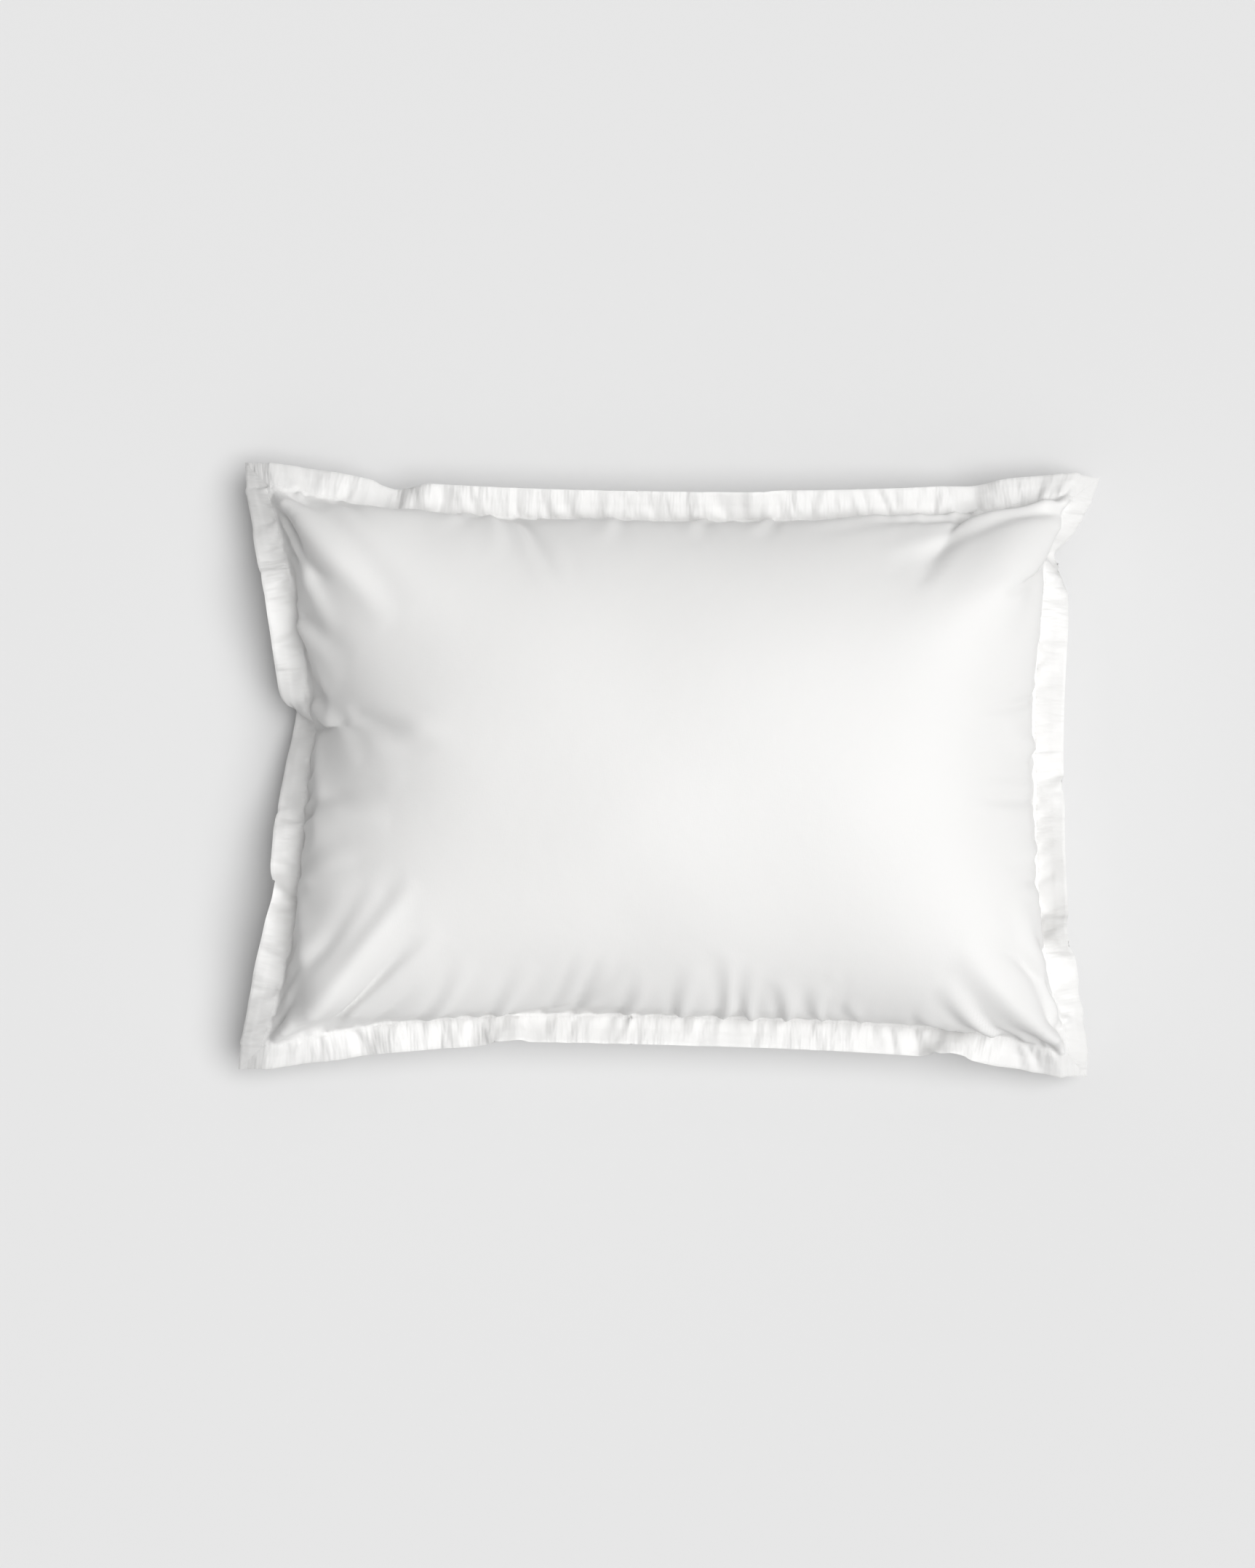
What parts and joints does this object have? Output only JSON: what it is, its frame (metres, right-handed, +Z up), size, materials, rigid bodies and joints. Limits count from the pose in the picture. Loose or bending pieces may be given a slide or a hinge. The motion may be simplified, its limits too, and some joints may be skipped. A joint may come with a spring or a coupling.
{
  "type": "bed pillow",
  "caption": "Rectangular stuffed bed pillow in a plain white case with a flat stitched flange round its edge and a lapped opening in the back.",
  "frame": {"origin": "middle of the flat patch that the pillow rests on, under the middle of its outline", "axes": "+X along the long side towards the end away from the lapped opening, +Y along the short side, +Z up out of the front panel"},
  "size_m": [0.716, 0.512, 0.166],
  "materials": {
    "case_sateen": "bleached cotton sateen, soft sheen",
    "case_thread": "polyester-cotton sewing thread",
    "label_tape": "blank woven satin tape",
    "ticking_cotton": "close-woven down-proof cotton, slight calender gloss",
    "piping_cotton": "bias-cut cotton over a cord",
    "insert_thread": "polyester-cotton sewing thread",
    "divider_cotton": "plain close-woven cotton",
    "down": "loose white down clusters",
    "feather": "small curled white feathers"
  },
  "bodies": {
    "root": {"case_front_panel": "case_sateen", "case_back_panel": "case_sateen", "case_underlap_panel": "case_sateen", "flange_topstitch": "case_thread", "edge_seam_thread": "case_thread", "back_hem_stitch": "case_thread", "underlap_hem_stitch": "case_thread", "opening_bar_tacks": "case_thread", "care_label": "label_tape", "insert_label": "label_tape", "ticking_top_panel": "ticking_cotton", "ticking_bottom_panel": "ticking_cotton", "ticking_piping": "piping_cotton", "ticking_edge_stitch": "insert_thread", "chamber_divider_upper": "divider_cotton", "chamber_divider_lower": "divider_cotton", "down_layer_upper": "down", "down_layer_lower": "down", "feather_core": "feather"}
  },
  "joints": []
}
